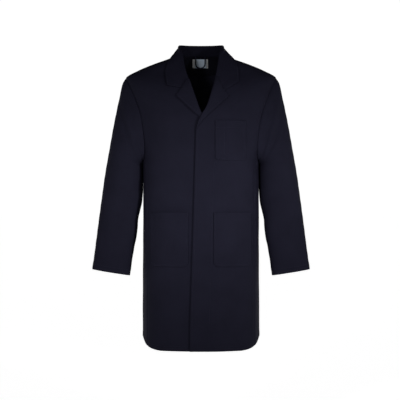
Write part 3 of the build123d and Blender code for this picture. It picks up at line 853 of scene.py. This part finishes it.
def collar_stations(side):
    """Neck seam, fold and leaf edge from the centre back to the gorge, as seen on the wearer's left."""
    reach = 1.0 if side == LEFT else 0.94
    stations = [
        ((0, 70, 1008), (0, 65, 1045), (0, 86, 992)),
        ((36, 65, 1008), (35, 60.5, 1045), (43, 81, 992)),
        ((63, 47, 1008), (62, 42, 1044.5), (76, 58, 994)),
        ((78, 18, 1007), (72.5, 15, 1041), (97, 19, None)),
        ((79, -10, 1004), (69.5, -13, 1033), (107 * reach, -17, None)),
        ((72, -38, 990), (62, -38, 1011), (122 * reach, None, 973)),
        ((61, None, 957), (56, -63, 972), (128 * reach, None, 943)),
    ]
    corner = (127.5, None, 913) if side == LEFT else (114.0, None, 899)
    start = GORGE_START[side]
    roll_y = front_y(*start)
    gorge_seam = (start[0] - 2.5, roll_y + 1, start[1] - 4)
    stations.append((gorge_seam, (start[0] - 3.2, roll_y - 16.5, start[1] - 3), corner))
    filled = []
    for station in stations:
        row = []
        for x, y, h in station:
            if h is None:
                h = shoulder_surface(x, y) + COLLAR_OVER_SHOULDER
            if y is None:
                y = front_y(x, h) - COLLAR_OFF_CHEST
            row.append((x, y, h))
        filled.append(row)
    return np.array(filled, float)


def collar_half(side):
    stations = collar_stations(side)
    at = run_along(stations[:, 1])
    at = at / at[-1]
    rows_at = np.linspace(0, 1, COLLAR_ROWS)
    tracks = [[table(list(zip(at, stations[:, k, c]))) for c in range(3)] for k in range(3)]
    seam, fold_line, edge = [np.stack([t(rows_at) for t in track], axis=-1) for track in tracks]
    notch_x, notch_h = NOTCH[side]
    notch = np.array([notch_x, front_y(notch_x, notch_h) - COLLAR_OFF_CHEST, notch_h])
    notch_share = corner_share_of(stations[-1, 1], notch, stations[-1, 2])
    leaf = np.linspace(0, 1, LEAF_POINTS)
    under = np.linspace(0, 1, STAND_POINTS, endpoint=False)[:, None]
    rows = []
    for s, f, e, at in zip(seam, fold_line, edge, rows_at):
        across = unit(np.array([e[0] - s[0], e[1] - s[1], 0.0]))
        hump = np.array([across[0], across[1], 0.5])
        swell = 2.4 * np.sin(leaf * math.pi) * (1 - 0.4 * at)
        straight = f + (e - f) * leaf[:, None] + hump * swell[:, None]
        weight = ramp(at, 0.80, 1.0)
        curve = straight * (1 - weight) + bent_line(f, notch, e, leaf, notch_share) * weight
        curve = curve + (1 - ramp(leaf, 0.0, 0.25))[:, None] * across * 5.0
        over = [f + across * out + np.array([0, 0, up]) for out, up in ((0.2, 1.2), (2.2, 2.2), (4.4, 1.0))]
        rows.append(np.concatenate([s + (f - s) * under, over, curve[2:]]))
    points = np.array(rows)
    # keep the leaf clear of the chest and shoulder under it
    front = (points[..., 1] < -20) & (np.arange(points.shape[1])[None, :] > STAND_POINTS + 2)
    clear = body_y(points[..., 0], np.clip(points[..., 2], 800, 1007), FRONT) - 6.5
    points[..., 1] = np.where(front, np.minimum(points[..., 1], clear), points[..., 1])
    return points * np.array([side, 1, 1])


collar_points = np.concatenate([collar_half(RIGHT)[::-1], collar_half(LEFT)[1:]], axis=0)
collar_normals = grid_normals(collar_points)
# the leaf's outer face looks to the back at the centre back
collar_normals = collar_normals * np.sign(collar_normals[len(collar_points) // 2, -5, 1])
collar = cloth("collar_cloth", collar_points, COLLAR_THICK, NAVY, collar_normals)
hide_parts("top_collar", "under_collar", "collar_interlining")
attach(collar, "root")


# ---------- pockets
POCKET_THICK = 1.1
POCKET_SEAM = 6.5
HEM_BAND = 24.0


def pocket_lift(x, h, x0, x1, h0, h1, belly, gape, division):
    """How far a pocket's inner face stands off the front at a point, as seen on the wearer's left."""
    edge = np.minimum(np.minimum(x - x0, x1 - x), h - h0)
    v = (h - h0) / (h1 - h0)
    u = np.clip((x - x0) / (x1 - x0), 0, 1)
    lift = 1.5 + belly * ramp(edge, 4, 46) * (0.55 + 0.45 * v)
    lift = lift + gape * ramp(v, 0.75, 1.0) * np.sin(u * math.pi) ** 0.8
    lift = lift - 0.55 * np.exp(-((edge - POCKET_SEAM) / 1.6) ** 2)
    lift = lift - 0.45 * np.exp(-((h1 - h - HEM_BAND) / 1.5) ** 2)
    if division is not None:
        near = np.exp(-((x - division) / 7.0) ** 2)
        lift = lift * (1 - 0.5 * near) - 0.5 * np.exp(-((x - division) / 1.6) ** 2)
    return lift


def pocket_inset(h, h0, corner):
    """How far the rounded lower corners draw the sides in."""
    cut = np.clip(corner - (h - h0), 0, corner)
    return corner - np.sqrt(np.clip(corner ** 2 - cut ** 2, 0, None))


def make_pocket(node, side, x0, x1, h0, h1, corner=17.0, belly=3.2, gape=4.5, division=None):
    """One patch pocket. Gives its stitch rows and its bartacks' lines."""
    def face_point(x, h):
        lift = pocket_lift(x, h, x0, x1, h0, h1, belly, gape, division)
        return on_front(side, x, h, lift + POCKET_THICK)

    def on_pocket(*path):
        return face_point(*resample(path, 2.5))

    def around_edge(inset_by):
        radius = max(corner - inset_by, 2.0)
        left_x, right_x, bottom = x0 + inset_by, x1 - inset_by, h0 + inset_by
        turn = [(radius - radius * math.cos(t), radius - radius * math.sin(t))
                for t in np.linspace(0, math.pi / 2, 8)]
        path = [(left_x, h1 - 1)]
        path += [(left_x + a, bottom + b) for a, b in turn]
        path += [(right_x - a, bottom + b) for a, b in turn[::-1]]
        return on_pocket(*path, (right_x, h1 - 1))

    u = edge_spaced(32, x1 - x0, (1.0, 2.5, 5.0))
    v = edge_spaced(38, h1 - h0, (1.0, 2.5, 5.0))
    h = h0 + (h1 - h0) * v
    inset = pocket_inset(h, h0, corner)
    x = (x0 + inset)[:, None] + (x1 - x0 - 2 * inset)[:, None] * u[None, :]
    h = np.repeat(h[:, None], len(u), axis=1)
    points, normals = face_point(x, h)
    thick = POCKET_THICK + 0.9 * ramp(h, h1 - HEM_BAND - 1, h1 - HEM_BAND + 1)
    thing = cloth(f"{node}_cloth", points, thick, NAVY, normals, flip=side == RIGHT)
    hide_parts(node)
    follow_front(thing, side)

    rows = [around_edge(1.8), around_edge(POCKET_SEAM),
            on_pocket((x0 + 2.5, h1 - HEM_BAND), (x1 - 2.5, h1 - HEM_BAND))]
    if division is not None:
        rows.append(on_pocket((division, h1 - 1), (division, h0 + 2)))
    bars = [on_pocket((bar_x, h1 - 1), (bar_x, h1 - 9)) for bar_x in (x0 + 4.0, x1 - 4.0)]
    return rows, bars


HIP = dict(x0=42.0, x1=166.0, h0=294.0, h1=474.0)
CHEST = dict(x0=46.7, x1=149.0, h0=648.5, h1=780.0, corner=12.0, belly=2.0, gape=2.0, division=77.0)
pocket_rows = {LEFT: [], RIGHT: []}
pocket_bars = {LEFT: [], RIGHT: []}
for node, side, sizes in (("left_hip_pocket", LEFT, HIP), ("right_hip_pocket", RIGHT, HIP),
                          ("chest_pocket", LEFT, CHEST)):
    rows, bars = make_pocket(node, side, **sizes)
    pocket_rows[side] += rows
    pocket_bars[side] += bars


def tube_parts(path, radius, up, corners=5):
    """A plain round tube along a path, closed at its ends."""
    ahead = unit(np.gradient(path, axis=0))
    side = unit(np.cross(ahead, up))
    top = unit(np.cross(side, ahead))
    turn = np.linspace(0, 2 * math.pi, corners, endpoint=False)[:, None]
    rings = path[:, None] + radius * (side[:, None] * np.cos(turn) + top[:, None] * np.sin(turn))
    vertices = rings.reshape(-1, 3)
    return vertices, ring_faces(len(path), corners), vertices / 1000.0


def make_tacks(side):
    """Dense zigzag bars across the ends of a pocket mouth."""
    parts = []
    for points, normals in pocket_bars[side]:
        length = np.linalg.norm(points[-1] - points[0])
        run = unit(points[-1] - points[0])
        up = unit(normals.mean(axis=0))
        across = unit(np.cross(run, up))
        zigzag = [points[0] + run * t + across * (1.1 if k % 2 else -1.1) + up * 0.25
                  for k, t in enumerate(np.arange(0, length, 0.55))]
        parts.append(tube_parts(np.array(zigzag), 0.28, up))
    thing = solid(f"{SIDE_NAME[side]}_pocket_bartacks", parts, THREAD)
    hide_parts(f"{SIDE_NAME[side]}_pocket_tacks")
    follow_front(thing, side)


make_tacks(LEFT)
make_tacks(RIGHT)


# ---------- inner pieces
PATCH_COLUMNS = 14


def front_patch(node, side, start, end, h0, h1, lift, thick):
    """A strip of cloth inside a front, from start to end mm in from its edge."""
    h = row_heights(h0, h1, 8)
    x = FRONT_EDGE[side](h)[:, None] + start + (end - start) * np.linspace(0, 1, PATCH_COLUMNS)[None, :]
    points, normals = on_front(side, x, np.repeat(h[:, None], PATCH_COLUMNS, axis=1), lift)
    # The strip wears the navy twill darkened with painted shade.
    thing = cloth(f"{node}_cloth", points, thick, NAVY_PAINTED_SHADE, normals, flip=side == RIGHT)
    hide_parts(node)
    follow_front(thing, side)
    width = float(run_along(points[0])[-1]) / 1000


front_patch("left_facing", LEFT, 2.5, 78, 16, 742, -1.35, 0.7)
front_patch("fly_strip", LEFT, 7, 58, 20, 738, -2.3, 0.8)
front_patch("right_facing", RIGHT, 2.5, 78, 16, 742, -1.2, 0.7)


# ---------- inside the back
def inside_back(node, x0, x1, h_low, h_high, depth, thick, material, columns=24, step=6.0,
                rise=0.0):
    """A layer of cloth lying on the inside of the back, whose lower edge may rise towards its ends."""
    x = np.linspace(x0, x1, columns)
    low = h_low + rise * (x / x1) ** 2
    v = np.linspace(0, 1, int(max(h_high - low) / step) + 2)
    heights = low[None, :] + (h_high - low)[None, :] * v[:, None]
    points, normals = on_cloth(np.repeat(x[None, :], len(v), axis=0), heights, -depth)
    thing = cloth(f"{node}_cloth", points, thick, material, -normals)
    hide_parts(node)
    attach(thing, "root")
    return thing


# The back neck facing wears the navy twill darkened with painted shade.
neck_facing = inside_back("back_neck_facing", -88, 88, 944.0, 1009.0, 2.1, 0.7, NAVY_PAINTED_SHADE,
                          rise=20.0)

LABEL_FOLDS = (-21.0, 17.5)


def make_label():
    """A woven label with lighter folded ends."""
    thing = inside_back("neck_label", -29, 24, 972.0, 1003.0, 3.6, 0.5, LABEL,
                        columns=54, step=2.0)
    thing.data.materials.append(LABEL_EDGE)
    for polygon in thing.data.polygons:
        x = polygon.center.x * 1000
        polygon.material_index = int(x < LABEL_FOLDS[0] or x > LABEL_FOLDS[1])


make_label()
care = inside_back("care_label", 150, 192, 331.0, 379.0, 2.4, 0.4, CARE, columns=16)

LOOP_X = -2.0
LOOP_Y = 61.3
LOOP_RADIUS = 16.3
LOOP_WIDTH = 4.6
LOOP_TOP = 1009.0
LOOP_BEND = 985.0            # below this height the tape turns round


def make_loop():
    """A narrow folded tape, sewn in at both ends under the collar so that it hangs as a U."""
    turn = np.linspace(math.pi, 2 * math.pi, 26)
    straight = np.linspace(LOOP_TOP, LOOP_BEND, 12, endpoint=False)
    path = [(LOOP_X - LOOP_RADIUS, h) for h in straight]
    path += [(LOOP_X + LOOP_RADIUS * math.cos(t), LOOP_BEND + LOOP_RADIUS * math.sin(t)) for t in turn]
    path += [(LOOP_X + LOOP_RADIUS, h) for h in straight[::-1]]
    path = np.array(path)
    ahead = unit(np.gradient(path, axis=0))
    across = np.stack([ahead[:, 1], -ahead[:, 0]], axis=-1)
    share = np.linspace(-0.5, 0.5, 9)
    swell = 0.25 * np.exp(-((np.abs(share) - 0.36) / 0.07) ** 2)
    xh = path[:, None] + across[:, None] * (share * LOOP_WIDTH)[None, :, None]
    points = np.stack([xh[..., 0], np.zeros_like(xh[..., 0]) + LOOP_Y - swell, xh[..., 1]], axis=-1)
    normals = np.broadcast_to(np.array([0.0, -1.0, 0.0]), points.shape)
    thing = cloth("hanger_loop_tape", points, 1.1, TAPE, normals, flip=True)
    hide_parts("hanger_loop")
    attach(thing, "hanger_loop")


make_loop()


# ---------- press studs
STUD_HEIGHTS = (280.0, 400.0, 520.0, 640.0, 760.0)
STUD_X = 4.0
STUD_CORNERS = 28


def turned_parts(profile, place, forward):
    """A round part from (radius, reach) points, its axis along forward from place."""
    forward = unit(forward)
    side = unit(np.cross(forward, np.array([0.0, 0.0, 1.0])))
    top = np.cross(side, forward)
    turn = np.linspace(0, 2 * math.pi, STUD_CORNERS, endpoint=False)[:, None]
    spokes = side * np.cos(turn) + top * np.sin(turn)
    vertices = np.concatenate([place + forward * reach + spokes * radius for radius, reach in profile])
    return vertices, ring_faces(len(profile), STUD_CORNERS), vertices / 1000.0


# radius and reach of each ring
POST = ((5.0, 0.0), (5.5, 0.12), (5.5, 0.3), (5.1, 0.45), (3.0, 0.5), (2.2, 0.6), (1.9, 0.8), (1.75, 1.3),
        (1.95, 1.6), (1.8, 1.85), (1.2, 2.0), (0.3, 2.05))
RIVET = ((4.6, 0.0), (5.0, 0.1), (5.0, 0.3), (4.4, 0.5), (1.0, 0.6), (0.3, 0.6))
SOCKET = ((5.0, 0.0), (5.5, 0.15), (5.5, 0.8), (5.1, 1.1), (4.2, 1.25), (3.2, 1.15), (2.6, 0.9), (2.3, 0.5),
          (0.3, 0.45))
CAP = ((4.6, 0.0), (5.0, 0.1), (5.0, 0.3), (4.0, 0.5), (1.0, 0.6), (0.3, 0.6))


def make_studs(node, side, profile, lift, forwards):
    """A row of parts on a front; both fronts have them at the same x."""
    x = np.full(len(STUD_HEIGHTS), STUD_X)
    h = np.array(STUD_HEIGHTS)
    places, normals = front_cloth(side, x, h, lift)
    studs = [turned_parts(profile, place, normal * forwards) for place, normal in zip(places, normals)]
    thing = solid(f"{node}_metal", studs, METAL)
    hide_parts(node)
    follow_front(thing, side)


make_studs("stud_posts", RIGHT, POST, 0.0, 1)
make_studs("stud_rivets", RIGHT, RIVET, -1.9, -1)
make_studs("stud_sockets", LEFT, SOCKET, -3.1, -1)
make_studs("stud_caps", LEFT, CAP, -2.3, 1)


# ---------- stitch rows
def inset_path(points, normals, distance, skip=0.0):
    """The line that runs this far in from a grid's last column, from row to row."""
    path, up = [], []
    for row, row_normals in zip(points[:, ::-1], normals[:, ::-1]):
        run = run_along(row)
        path.append([np.interp(distance, run, row[:, k]) for k in range(3)])
        up.append([np.interp(distance, run, row_normals[:, k]) for k in range(3)])
    path, up = np.array(path), np.array(up)
    run = run_along(path)
    keep = (run >= skip) & (run <= run[-1] - skip)
    return path[keep], up[keep]


def end_path(points, normals, distance, skip=0.0):
    """The line that runs this far in from a grid's last row, from column to column."""
    return inset_path(points.swapaxes(0, 1), normals.swapaxes(0, 1), distance, skip)


def stitches(name, rows):
    """The thread of these rows, as one object."""
    thing = solid(name, [part for part in (stitch_parts(*row) for row in rows) if len(part[0])], THREAD)
    return thing


def seam_row(side, line, offset, low, high, lift=0.0):
    """A row up a front, offset mm from a line of x by height. Its x isn't mirrored on the right front."""
    h = np.arange(low, high, 3.0)
    x, h = resample(np.stack([line(h) + offset, h], axis=-1), 3.0)
    return front_cloth(side, x, h, lift)


def front_rows(side):
    edge = FRONT_EDGE[side]
    hem_start = float(edge(28)) + 8
    x = np.linspace(hem_start, 172, int((172 - hem_start) / 3))
    rows = [seam_row(side, ARMHOLE_X, -7.0, 662, 926, THREAD_LIFT),
            on_front(side, x, HEM_RISE(np.abs(x)) + HEM_STITCH, THREAD_LIFT),
            seam_row(side, SIDE_SEAM_X, -7.0, 60, 630, THREAD_LIFT),
            seam_row(side, edge, 6.0, 20, 752 if side == LEFT else 740)]
    if side == LEFT:
        rows.append(seam_row(side, edge, 62.0, 30, 700))
    return rows


def lapel_rows(points, normals):
    gorge_points, gorge_normals = end_path(points, normals, 5.0, 6.0)
    return [inset_path(points, normals, 5.0, 6.0), (gorge_points[-9:], gorge_normals[-9:])]


for side in (LEFT, RIGHT):
    rows = front_rows(side) + pocket_rows[side] + lapel_rows(*lapels[side])
    follow_front(stitches(f"{SIDE_NAME[side]}_front_stitching", rows), side)

collar_rows = [inset_path(collar_points, collar_normals, 5.5, 6.0)]
leaf_columns = slice(STAND_POINTS + 3, None)
for step in (1, -1):
    end_points, end_normals = end_path(collar_points[::step, leaf_columns],
                                       collar_normals[::step, leaf_columns], 5.0, 6.0)
    collar_rows.append((end_points[-18:], end_normals[-18:]))
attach(stitches("collar_stitching", collar_rows), "root")


def back_row(side, distance, low, high, from_seam=False):
    """A row that runs up the back this far from the centre back, or from the seam at its edge."""
    rows = []
    for h in np.arange(low, high, 3.0):
        xs, ys, run, _, seam = back_arc(h)
        at = seam - distance if from_seam else distance
        face = FRONT if np.interp(at, run, ys) < 0 else BACK
        rows.append(on_cloth(np.interp(at, run, xs) * side, np.array(h), THREAD_LIFT, face))
    return np.array(rows).swapaxes(0, 1)


back_rows = []
for side in (LEFT, RIGHT):
    back_rows.append(back_row(side, 7.0, 662, 926, from_seam=True))
    back_rows.append(back_row(side, 7.0, 70, 640, from_seam=True))
    x = np.linspace(6, 190, 70)
    back_rows.append(on_cloth(x * side, HEM_RISE(x) + HEM_STITCH, THREAD_LIFT))
back_rows.append(back_row(LEFT, 6.0, 20, 996))
slant = np.linspace(0, 1, 20)
back_rows.append(on_cloth(6 + 26 * slant, VENT_TOP + 10 - 18 * slant, 1.5))
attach(stitches("back_stitching", back_rows), "root")

for side, (points, normals) in sleeves.items():
    closed = [np.concatenate([grid, grid[:, :1]], axis=1) for grid in (points, normals)]
    follow_sleeve(stitches(f"{SIDE_NAME[side]}_sleeve_stitching", [end_path(*closed, 18.0)]), side)


def make_underlap():
    """The wearer's right edge of the vent runs on under the left one."""
    x = np.linspace(-4, 30, 14)
    h = np.concatenate([[14.0, 15.5, 19.0], np.arange(24, VENT_TOP - 6, 7.0)])
    points, normals = on_cloth(*np.meshgrid(x, h), -2.4)
    thing = cloth("vent_underlap_cloth", points, 1.0, NAVY, normals, flip=True)
    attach(thing, "root")


make_underlap()


# ---------- camera, light, floor
CAMERA_DISTANCE = 5.0
FRAME_WIDTH = 1.3616
SENSOR_WIDTH = 36.0
COAT_MIDDLE = (-0.02, 0, -0.52)
FLOOR_HEIGHT = -1.25
FLOOR_REACH = 60.0
FRONT_DIMMING = 0.40         # how bright the studio is behind the camera
scene = bpy.context.scene
scene.view_settings.view_transform = "Standard"

camera_data = bpy.data.cameras.new("camera")
camera_data.sensor_width = SENSOR_WIDTH
camera_data.lens = SENSOR_WIDTH * CAMERA_DISTANCE / FRAME_WIDTH
camera = bpy.data.objects.new("camera", camera_data)
camera.location = (-0.0034, -CAMERA_DISTANCE, -0.4843)
camera.rotation_euler = (math.radians(90), 0, 0)
scene.collection.objects.link(camera)
scene.camera = camera


def area_light(name, location, size, power, spread):
    data = bpy.data.lights.new(name, "AREA")
    data.energy = power
    data.size = size
    data.spread = math.radians(spread)
    light = bpy.data.objects.new(name, data)
    light.location = location
    light.rotation_mode = "QUATERNION"
    light.rotation_quaternion = (Vector(COAT_MIDDLE) - Vector(location)).to_track_quat("-Z", "Y")
    scene.collection.objects.link(light)


area_light("key", (1.45, -1.75, 0.08), 0.20, 1.35, 33)
area_light("fill", (-0.95, -2.1, 0.05), 0.35, 0.98, 32)


def faded(tree, place, axis, start, end, first, last):
    """A value that eases from first to last as a place moves along an axis from start to end."""
    split = add_node(tree, "SeparateXYZ")
    fade = add_node(tree, "MapRange", {"From Min": start, "From Max": end, "To Min": first, "To Max": last},
                    interpolation_type="SMOOTHSTEP")
    tree.links.new(place, split.inputs["Vector"])
    tree.links.new(split.outputs[axis], fade.inputs["Value"])
    return fade.outputs["Result"]


def make_floor():
    """White paper that gives off its own light, less of it in front of the coat."""
    corners = [(x * FLOOR_REACH, y * FLOOR_REACH, FLOOR_HEIGHT)
               for x, y in ((-1, -1), (1, -1), (1, 1), (-1, 1))]
    floor = new_object("studio_floor", corners, [(0, 1, 2, 3)])
    material, tree, shader = principled("lit_white_paper", (0.85, 0.85, 0.85), 0.9)
    shader.inputs["Emission Color"].default_value = (1, 1, 1, 1)
    place = add_node(tree, "NewGeometry").outputs["Position"]
    tree.links.new(faded(tree, place, "Y", -1.8, 0.5, 0.25, 0.90), shader.inputs["Emission Strength"])
    floor.data.materials.append(material)


def make_world():
    """A studio whose walls are white, whose ceiling is dim, and which is dimmer behind the camera."""
    world = bpy.data.worlds.new("studio")
    world.use_nodes = True
    tree = world.node_tree
    way = add_node(tree, "TexCoord").outputs["Generated"]
    both = add_node(tree, "Math", operation="MULTIPLY")
    tree.links.new(faded(tree, way, "Z", 0.16, 0.42, 1.02, 0.05), both.inputs[0])
    tree.links.new(faded(tree, way, "Y", -0.80, 0.45, FRONT_DIMMING, 1.0), both.inputs[1])
    background = tree.nodes["Background"]
    background.inputs["Color"].default_value = (1, 1, 1, 1)
    tree.links.new(both.outputs["Value"], background.inputs["Strength"])
    scene.world = world


make_floor()
make_world()
